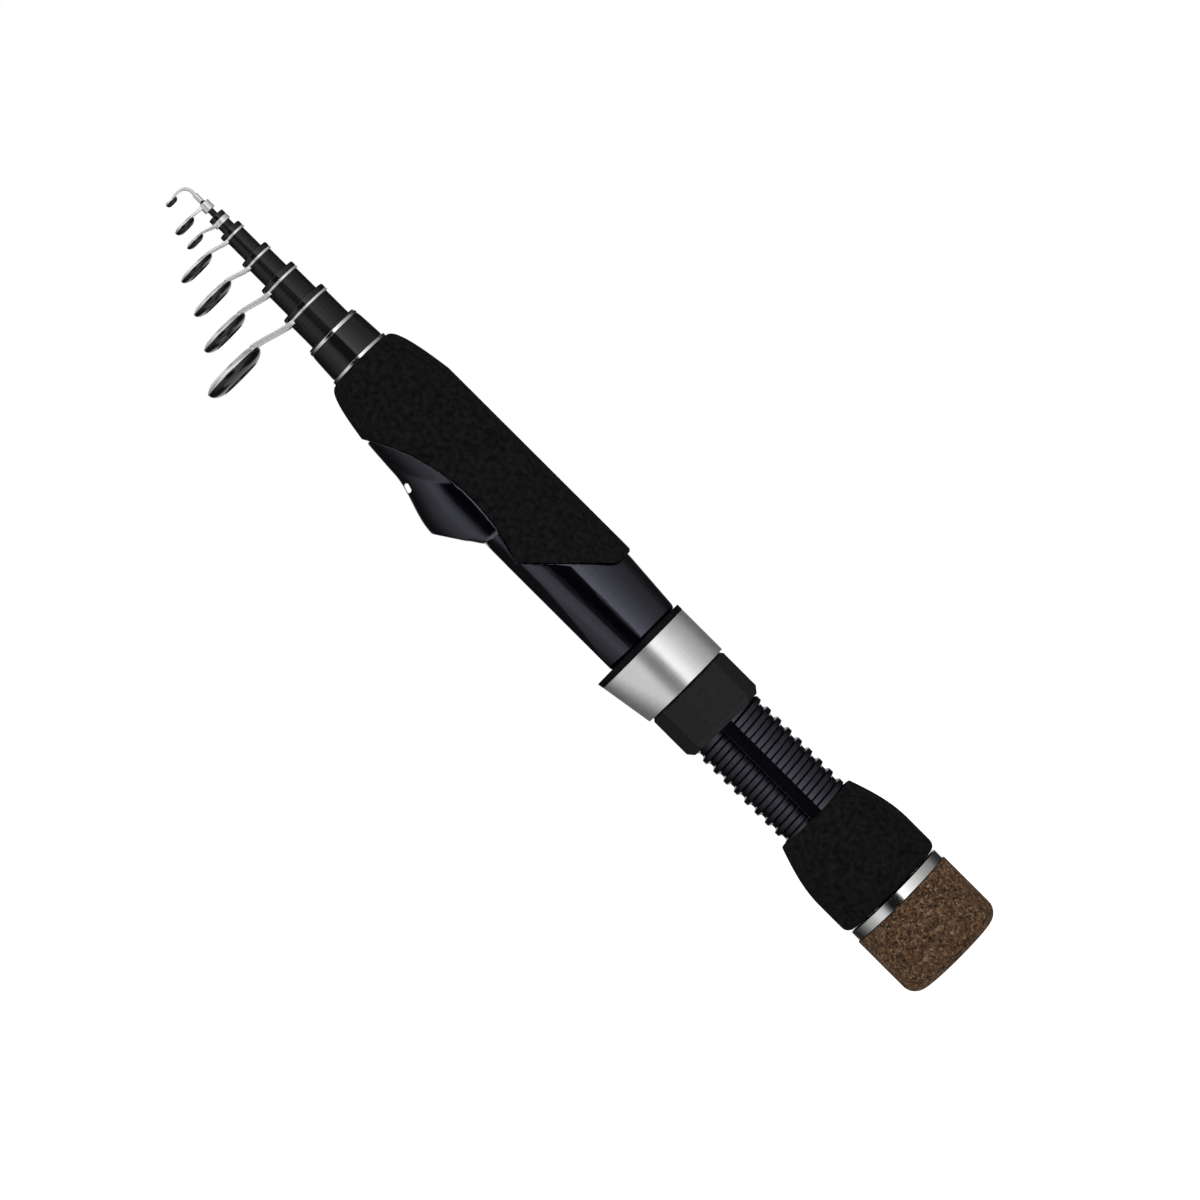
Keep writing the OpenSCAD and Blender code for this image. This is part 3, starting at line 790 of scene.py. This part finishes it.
# %% Foam grips
for grip_name, grip_node, cell, rounds, kept in (("rear_foam_grip", "rear_grip", 0.22, 5, 0.2),
                                                 ("front_foam_grip", "foregrip", 0.13, 14, 0.1)):
    grip = through_modifiers(rounded(merged_copy(grip_node), cell, rounds), ("DECIMATE", {"ratio": kept}))
    bmesh.ops.recalc_face_normals(grip, faces=grip.faces)
    made = piece(grip_name, grip, FOAM, "handle", "foam", grip_node, smooth_under=80)
    print(grip_name, len(made.data.polygons), "faces")

# %% [markdown]
# ## The reel seat
# The seat is one moulding: a barrel with a coarse thread, a flat saddle for the reel's foot, and the fixed
# hood that swells out of the grip. Above the shoulder a copy of the frame's solid is rounded in the same way
# as the foam, because a moulding has no sharp edges either. Only the part that the grip and the bore hide is
# thinned out, all but its front rim, so the glossy skin keeps its even cells and mirrors without ripples.
# Where the chamfers of the saddle end below the fixed hood, more smoothing blends one form into the other.
# The slot through the hood's crest is only a few cells wide and comes out ragged, so a slightly larger one is
# cut over it.
#
# The barrel below is new, because its thread is a true helix with a flat groove down each side, where the
# keys of the sliding hood run. The grooves are made by cutting the skin along their edges and pressing what
# lies between them down to the groove's floor.

# %% Threaded barrel
THREAD_CREST, THREAD_ROOT, SEAT_BORE, THREAD_PITCH = 10.35, 9.5, 8.75, 3.55
KEY_WIDTH, KEY_FLOOR, KEY_DRAFT = 3.2, 9.35, 0.04
SHOULDER_GAP, WELD = 0.3, 0.3
seat_foot = low("reel_seat").z
thread_head = low("hood_shell").z + 1.0
shoulder = high("hood_liner").z + SHOULDER_GAP
barrel = screw_thread(THREAD_CREST, THREAD_ROOT, SEAT_BORE, THREAD_PITCH, seat_foot, thread_head,
                      shoulder + WELD)
for side in (-1, 1):
    for width in (KEY_WIDTH / 2, KEY_WIDTH / 2 - KEY_DRAFT):
        cut_at(barrel, (side * width * MM, 0, 0), (1, 0, 0))
for v in barrel.verts:
    in_groove = abs(v.co.x) < (KEY_WIDTH / 2 - KEY_DRAFT / 2) * MM
    if in_groove and abs(v.co.y) > (SEAT_BORE + 0.1) * MM:
        v.co.y = math.copysign(KEY_FLOOR * MM, v.co.y)
bmesh.ops.recalc_face_normals(barrel, faces=barrel.faces)
for e in barrel.edges:
    on_wall = all(abs(abs(v.co.x) - (KEY_WIDTH - KEY_DRAFT) / 2 * MM) < KEY_DRAFT * MM for v in e.verts)
    e.smooth = not on_wall and len(e.link_faces) == 2 and e.calc_face_angle() < math.radians(30)
print("seat thread", round((thread_head - seat_foot) / THREAD_PITCH, 1), "turns")

# %% Saddle and fixed hood
SEAT_CELL, SEAT_ROUNDS, SADDLE_LENGTH = 0.28, 6, 43.0
RUN_OUT_ROUNDS, RUN_OUT_BELOW, RUN_OUT_ABOVE, RUN_OUT_X, RUN_OUT_Y = 60, 7, 4, -6, 4.5
seat = merged_copy("reel_seat")
cut = cut_at(seat, (0, 0, (shoulder + 0.05) * MM), (0, 0, 1), clear_inner=True)
bmesh.ops.translate(seat, verts=only(BMVert, cut), vec=(0, 0, -SHOULDER_GAP * MM))
bmesh.ops.bridge_loops(seat, edges=only(BMEdge, cut))
seat = rounded(seat, SEAT_CELL, SEAT_ROUNDS)
mouth = (shoulder + SADDLE_LENGTH) * MM
run_out = [v for v in seat.verts if -RUN_OUT_BELOW * MM < v.co.z - mouth < RUN_OUT_ABOVE * MM
           and v.co.x < RUN_OUT_X * MM and abs(v.co.y) > RUN_OUT_Y * MM]
for _ in range(RUN_OUT_ROUNDS):
    bmesh.ops.smooth_vert(seat, verts=run_out, factor=0.5, use_axis_x=True, use_axis_y=True, use_axis_z=True)
print("saddle and hood", len(seat.faces), "cells")


# %% Slot for the hook
def pulled(bm, faces, vector):
    """Extrudes faces along a vector, and gives back the faces at the far end."""
    made = bmesh.ops.extrude_face_region(bm, geom=faces)["geom"]
    bmesh.ops.translate(bm, verts=only(BMVert, made), vec=vector)
    return only(BMFace, made)


SLOT_X, SLOT_RISE, SLOT_R, SLOT_HALF, SLOT_SLOPE, SLOT_REACH = -13.95, 23.2, 0.6, 0.65, 17, 15.0
SLOT_NEAR, RIM_DEGREES = 2.0, 50
middle = Vector((SLOT_X * MM, 0, mouth + SLOT_RISE * MM))
bit = bmesh.new()
upright = Matrix.Rotation(math.radians(90), 4, "X") @ Matrix.Rotation(math.radians(7.5), 4, "Z")
bmesh.ops.create_circle(bit, cap_ends=True, segments=24, radius=SLOT_R * MM, matrix=upright)
for v in bit.verts:
    v.co += Vector((0, -SLOT_REACH * MM, math.copysign(SLOT_HALF * MM, v.co.z)))
pulled(bit, bit.faces[:], (0, 2 * SLOT_REACH * MM, 0))
slope = Matrix.Translation(middle) @ Matrix.Rotation(math.radians(SLOT_SLOPE), 4, "Y")
bmesh.ops.transform(bit, matrix=slope, verts=bit.verts)
bmesh.ops.recalc_face_normals(bit, faces=bit.faces)
cutter = solid("bit", bit)
seat = through_modifiers(seat, ("BOOLEAN", {"object": cutter, "operation": "DIFFERENCE", "solver": "EXACT"}))
discard(cutter)
rims = 0
for e in seat.edges:
    near = all((Vector((v.co.x, 0, v.co.z)) - middle).length < SLOT_NEAR * MM for v in e.verts)
    if near and len(e.link_faces) == 2 and e.calc_face_angle() > math.radians(RIM_DEGREES):
        e.smooth = False
        rims += 1
print("slot with", rims, "sharp edges")

# %% Seat in one piece
CORE_R, SADDLE_X, RIM_KEPT, SHARE_KEPT = 10.3, 10.3, 2.0, 0.36
rim_z = (high("reel_seat").z - RIM_KEPT) * MM
seat.verts.index_update()
hidden = [v.index for v in seat.verts if v.co.z < rim_z
          and v.co.xy.length < (CORE_R + 0.1) * MM and v.co.x > (0.5 - SADDLE_X) * MM]
seat = through_modifiers(seat, ("DECIMATE", {"ratio": SHARE_KEPT, "vertex_group": "group"}), group=hidden)
bmesh.ops.recalc_face_normals(seat, faces=seat.faces)
made = piece("moulded_seat", joined(seat, barrel), SEAT, "handle", "seat_plastic", "reel_seat",
             smooth_under=0)
print("seat", len(made.data.polygons), "faces")

# %% [markdown]
# ## Hood and lock nut
# The sliding hood is a sleeve that swells towards the reel's foot. Its outline is the tight band round two
# circles, a large one on the rod's axis and a smaller one beside it that grows towards the front. For each
# direction the circle that reaches further gives the point, so the straight flanks come by themselves. The
# lock nut is lofted the same way, from twelve-sided outlines to a round bore.

# %% Sliding hood
HOOD_R, HOOD_AXIS, LOBE_REAR, LOBE_FRONT, SHELL = 12.4, 5.0, 7.7, 9.9, 0.7
hood_foot, hood_head = low("hood_shell").z, high("hood_shell").z


def hood_outline(inset, height):
    """The band round the hood's two circles at a height, as a function of the angle."""
    lobe = LOBE_REAR + (LOBE_FRONT - LOBE_REAR) * (height - hood_foot) / (hood_head - hood_foot)

    def point(angle):
        ahead = Vector((math.cos(angle), math.sin(angle), 0))
        on_lobe = lobe - HOOD_AXIS * ahead.x > HOOD_R
        flat = ahead * (lobe - inset) - Vector((HOOD_AXIS, 0, 0)) if on_lobe else ahead * (HOOD_R - inset)
        return (flat + Vector((0, 0, height))) * MM
    return point


hood = loft([hood_outline(0, hood_foot), hood_outline(0, hood_head),
             hood_outline(SHELL, hood_head), hood_outline(SHELL, hood_foot)], steps=288)
piece("hood_sleeve", soften(hood, 0.16, over_degrees=60), SATIN, "sliding_hood", "satin_metal", "hood_shell")
print("hood", round(hood_head - hood_foot, 2), "mm long")

# %% Lock nut
NUT_SIDES, NUT_BORE, NUT_SPIGOT_R, NUT_SPIGOT = 12, 10.5, 11.05, 2.4
NUT_TAPER, NUT_TAPER_H, NUT_CHAMFER, NUT_INSET = 1.35, 1.6, 0.7, 0.06
nut_flat = high("lock_nut").y
nut_foot = low("lock_nut").z
nut_head = high("lock_nut").z - NUT_SPIGOT


def nut_outline(flat_r, height, sides=NUT_SIDES):
    """A regular outline with flats at a radius, or a circle where sides is 0."""
    def point(angle):
        step = 2 * math.pi / sides if sides else 1
        off_flat = (angle + step / 2) % step - step / 2 if sides else 0
        radius = flat_r / math.cos(off_flat)
        return Vector((radius * math.cos(angle), radius * math.sin(angle), height)) * MM
    return point


nut = loft([
    nut_outline(nut_flat - NUT_TAPER, nut_foot), nut_outline(nut_flat - NUT_INSET, nut_foot + NUT_TAPER_H),
    nut_outline(nut_flat - NUT_INSET, nut_head - NUT_CHAMFER), nut_outline(nut_flat - NUT_CHAMFER, nut_head),
    nut_outline(NUT_SPIGOT_R, nut_head, 0), nut_outline(NUT_SPIGOT_R, nut_head + NUT_SPIGOT, 0),
    nut_outline(NUT_BORE, nut_head + NUT_SPIGOT, 0), nut_outline(NUT_BORE, nut_foot, 0),
], steps=144)
piece("twelve_sided_nut", soften(nut, 0.22, over_degrees=20), NUT, "lock_nut", "nut_plastic", "lock_nut")
print("nut", round(2 * nut_flat, 2), "mm across flats")

# %% [markdown]
# ## Windings and trim rings
# In front of the foregrip comes a polished check, then a varnished winding on the first section, then a thin
# ring. Each of the next five sections ends in a winding of its own that holds the collar of its guide.
# Varnish draws itself round at the ends, so each winding's outline is crowned.


# %% Windings
def winding(name, node, body, bore_r, crown_mm):
    """A varnished winding: a band with round ends and a slight crown."""
    foot, head, radius = low(node).z, high(node).z, high(node).y
    end_r = radius - 1.6 * crown_mm
    crown = [(radius - crown_mm * (2 * t - 1) ** 4, foot + (head - foot) * (0.04 + 0.92 * t))
             for t in [i / 8 for i in range(9)]]
    outline = [(bore_r, foot), (end_r, foot)] + crown + [(end_r, head), (bore_r, head)]
    piece(name, turned(outline), VARNISH, body, "varnish", node)


for guide in range(1, 6):
    section = f"section_{guide + 1}"
    winding(f"guide_{guide}_winding", f"guide_{guide}_wrap", section, high(section).y - 0.6, 0.10)

wrap_foot, wrap_head, wrap_r = low("front_wrap").z, high("front_wrap").z, high("front_wrap").y
WRAP_FRONT_R, SECTION_1_FRONT_R = 7.75, 7.45
WRAP_CROWN = 0.14
wrap_line = [(wrap_r + (WRAP_FRONT_R - wrap_r) * t - WRAP_CROWN * (2 * t - 1) ** 8,
              wrap_foot + (wrap_head - wrap_foot) * t) for t in [i / 16 for i in range(17)]]
wrap_outline = [(SECTION_1_FRONT_R, wrap_foot)] + wrap_line + [(SECTION_1_FRONT_R, wrap_head)]
piece("front_winding", turned(wrap_outline), VARNISH, "handle", "varnish", "front_wrap")

TRIM_RINGS = (("grip_check_ring", "grip_check", 7.49), ("front_trim_ring", "front_ring", 7.44))
for ring_name, ring_node, bore in TRIM_RINGS:
    foot, head, radius = low(ring_node).z, high(ring_node).z, high(ring_node).y
    rim = soften(turned([(bore, foot), (radius, foot), (radius, head), (bore, head)]), 0.14)
    piece(ring_name, rim, BRIGHT, "handle", "bright_metal", ring_node)
print("windings and rings made")

# %% [markdown]
# ## Line guides
# A guide is a steel frame on a collar, with a black ceramic ring pressed into its eye. The eye's frame and
# the ring are spun round the eye's own axis. The two legs are strips that rise from the sides of the collar:
# each starts as a four-cornered outline, is cut across into short lengths, bent into a gentle S, given its
# thickness, and softened. The places and the eyes' sizes are read from the frame's nodes.

# %% Guide rings
RIM_SHARE, STEEL_SHARE, RING_SHARE = 0.38, 0.4, 0.97
RING_RISE, RING_DEPTH, RING_BAND, RING_HEIGHT = 0.22, 0.61, 0.06, 0.87


def eye_of(ring_node, frame_node):
    """Centre, hole radius, rim and width of a guide's eye, in millimetres, from its two nodes."""
    eye_x = (low(ring_node).x + high(ring_node).x) / 2
    eye_r = eye_x - low(frame_node).x
    rim = RIM_SHARE * eye_r
    width = (high(ring_node).z - low(ring_node).z) / RING_HEIGHT
    return eye_x, high(ring_node).z - RING_RISE * width, eye_r - rim, rim, width


def eye_rim(eye_x, eye_z, hole, rim, width):
    """The steel rim of an eye: flat where the ceramic sits, rounded outside."""
    seat = hole + STEEL_SHARE * rim + BOND
    reach = hole + rim - seat
    slope = [(hole + rim - reach * t, eye_z + width * (0.06 + 0.29 * t ** 0.7))
             for t in [i / 12 for i in range(13)]]
    outline = [(seat, eye_z + BOND), (hole + rim, eye_z + BOND)] + slope
    return turned(outline, steps=96, axis_x=eye_x)


def eye_ring(eye_x, eye_z, hole, rim, width):
    """The ceramic ring: a round inner lip, a full round back and a collar that the rim holds."""
    nose = min(0.12 * rim, 0.2 * width)
    lip = [(hole + 0.15 * rim * (1 - math.sin(a)), eye_z + width * (RING_RISE - 0.10 * (1 - math.cos(a))))
           for a in [math.radians(step) for step in range(0, 91, 15)]]
    under = arc(hole + nose, eye_z + nose - RING_DEPTH * width, nose, 180, 270, 6)
    inner, outer = hole + nose, hole + RING_SHARE * rim
    shares = [math.sin(math.radians(a)) for a in range(8, 91, 6)] + [1.0]
    back = [(inner + (outer - inner) * s,
             eye_z - width * (RING_BAND + (RING_DEPTH - RING_BAND) * (1 - 0.45 * s)
                              * math.sqrt(max(0.0, 1 - s ** 4))))
            for s in shares]
    outline = ([(hole + STEEL_SHARE * rim, eye_z + RING_RISE * width)] + lip + under + back
               + [(outer, eye_z), (hole + STEEL_SHARE * rim, eye_z)])
    return turned(outline, steps=96, axis_x=eye_x)


# %% Guide legs and collars
COLLAR_WALL, LEG_SPREAD, LEG_THICK = 0.42, math.radians(28), 0.55
ROOT_WIDTHS = {"guide_1": 1.2, "guide_2": 1.1, "guide_3": 1.0, "guide_4": 0.9, "guide_5": 0.9, "float": 0.9}
COLLAR_WIDTHS = {"guide_1": 0.6, "guide_2": 0.6, "guide_3": 0.6, "guide_4": 0.6, "guide_5": 1.4, "float": 2.4}


def guide_leg(side, collar_r, collar_top, root_w, eye):
    """One strip leg, from the side of the collar up to the rim of the eye."""
    eye_x, eye_z, hole, rim, width = eye
    from_r = collar_r - COLLAR_WALL / 2
    root = Vector((-0.75 * from_r, side * 0.66 * from_r, collar_top - root_w / 2 - 0.05))
    reach = hole + 0.75 * rim
    top = Vector((eye_x + reach * math.cos(LEG_SPREAD), side * reach * math.sin(LEG_SPREAD),
                  eye_z + 0.19 * width))
    top_w = 0.3 * width
    along = top - root
    outward = Vector((along.y, -along.x, 0)).normalized()
    bm = bmesh.new()
    corners = [bm.verts.new(p * MM) for p in (
        root - Vector((0, 0, root_w / 2)), top - Vector((0, 0, top_w / 2)),
        top + Vector((0, 0, top_w / 2)), root + Vector((0, 0, root_w / 2)))]
    strip = bm.faces.new(corners)
    least = 0.3 * along.xy.length * MM
    long_edges = [e for e in strip.edges if (e.verts[0].co - e.verts[1].co).xy.length > least]
    bmesh.ops.subdivide_edges(bm, edges=long_edges, cuts=9, use_grid_fill=True)
    for v in bm.verts:
        t = ((v.co / MM - root).xy.dot(along.xy)) / along.xy.length_squared
        v.co.z += along.z * (t * t * (3 - 2 * t) - t) * 0.6 * MM
    thick = min(LEG_THICK, 0.3 * from_r)
    bmesh.ops.translate(bm, verts=bm.verts, vec=outward * thick / 2 * MM)
    bmesh.ops.recalc_face_normals(bm, faces=bm.faces)
    bm.normal_update()
    if bm.faces[:][0].normal.dot(outward) < 0:
        bmesh.ops.reverse_faces(bm, faces=bm.faces)
    bmesh.ops.solidify(bm, geom=bm.faces[:], thickness=thick * MM)
    clean(bm)
    return soften(bm, 0.3 * thick, over_degrees=50)


def guide_frame(title, body, collar_bore, collar_top):
    """Rim, legs and collar of one guide, welded into one piece, with its ceramic ring."""
    eye = eye_of(title + "_insert", title + "_frame")
    collar_r = collar_bore + COLLAR_WALL
    collar_foot = collar_top - COLLAR_WIDTHS[title]
    bm = soften(turned([(collar_bore, collar_foot), (collar_r, collar_foot), (collar_r, collar_top),
                        (collar_bore, collar_top)], steps=96), 0.08)
    joined(bm, eye_rim(*eye))
    for side in (-1, 1):
        joined(bm, guide_leg(side, collar_r, collar_top, ROOT_WIDTHS[title], eye))
    piece(title + "_steel", bm, STEEL, body, "guide_steel", title + "_frame", smooth_under=35)
    piece(title + "_ring", eye_ring(*eye), CERAMIC, body, "ring_black", title + "_insert")
    return eye


FLOAT_BORE = 1.08
for guide in range(1, 6):
    body = f"section_{guide + 1}"
    collar_top = low(f"guide_{guide}_wrap").z
    eye = guide_frame(f"guide_{guide}", body, high(f"guide_{guide}_wrap").y - 0.4, collar_top)
    print("guide", guide, "eye", round(2 * eye[2], 2), "mm")
float_top = low("float_frame").z + COLLAR_WIDTHS["float"]
guide_frame("float", "floating_guide", FLOAT_BORE, float_top)

# %% [markdown]
# ## The tip eye
# The tip eye's tube is drawn out into one wire that bends over to a small eye. The wire is a circle of points
# that is extruded straight up, spun through a quarter turn, and extruded again into the rim.

# %% Tip eye
WIRE_R, TUBE_R, TUBE_H, BEND, WIRE_FOOT, BEND_RISE = 0.42, 0.68, 2.4, 2.4, 2.0, 3.3
tip_z = low("tip_frame").z
tip_eye = eye_of("tip_insert", "tip_frame")
bend_z = tip_z + BEND_RISE
tube_outline = [(WIRE_R, tip_z), (TUBE_R, tip_z), (TUBE_R, tip_z + TUBE_H), (WIRE_R, tip_z + TUBE_H)]
tube = soften(turned(tube_outline, steps=48), 0.1)
wire = bmesh.new()
ends = bmesh.ops.create_circle(wire, segments=24, radius=WIRE_R * MM, cap_ends=True)["verts"]
bmesh.ops.translate(wire, verts=ends, vec=(0, 0, (tip_z + WIRE_FOOT) * MM))
head_face = pulled(wire, wire.faces[:], (0, 0, (bend_z - tip_z - WIRE_FOOT) * MM))
bent = bmesh.ops.spin(wire, geom=head_face, cent=(-BEND * MM, 0, bend_z * MM), axis=(0, -1, 0),
                      angle=math.pi / 2, steps=14)["geom_last"]
pulled(wire, only(BMFace, bent), ((tip_eye[0] + tip_eye[2] + 0.6 * tip_eye[3] + BEND) * MM, 0, 0))
clean(wire)
joined(tube, wire)
joined(tube, eye_rim(*tip_eye))
piece("tip_eye_steel", tube, STEEL, "tip_section", "guide_steel", "tip_frame", smooth_under=50)
piece("tip_eye_ring", eye_ring(*tip_eye), CERAMIC, "tip_section", "ring_black", "tip_insert")
print("tip eye", round(2 * tip_eye[2], 2), "mm")

# %% [markdown]
# ## Parts that keep the frame's mesh
# The tapered sections, the inner bushes and the hood's liner are simple and exact in the frame, so they keep
# its mesh. They only take a finish.

# %% Finishes on the frame's own nodes
KEPT = {"hood_liner": LINER, "rear_arbor": INNER, "front_arbor": INNER, "butt_bush": INNER}
KEPT.update({f"section_{k}": SECTION for k in range(1, 8)})
for kept_node, material in KEPT.items():
    for kept_slot in nodes[kept_node].material_slots:
        kept_slot.material = material
print("kept nodes", len(KEPT))

# %% [markdown]
# ## Sizes
# The dressed model's box is set against the frame's box, and the difference on each axis is printed.
# The dressed model has to stay inside the frame's box.

# %% Sizes and end
visual_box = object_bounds()
grown = [round((visual_box[1][i] - visual_box[0][i] - cad_box[1][i] + cad_box[0][i]) / MM, 3)
         for i in range(3)]
print("visual box is larger by", grown, "mm")
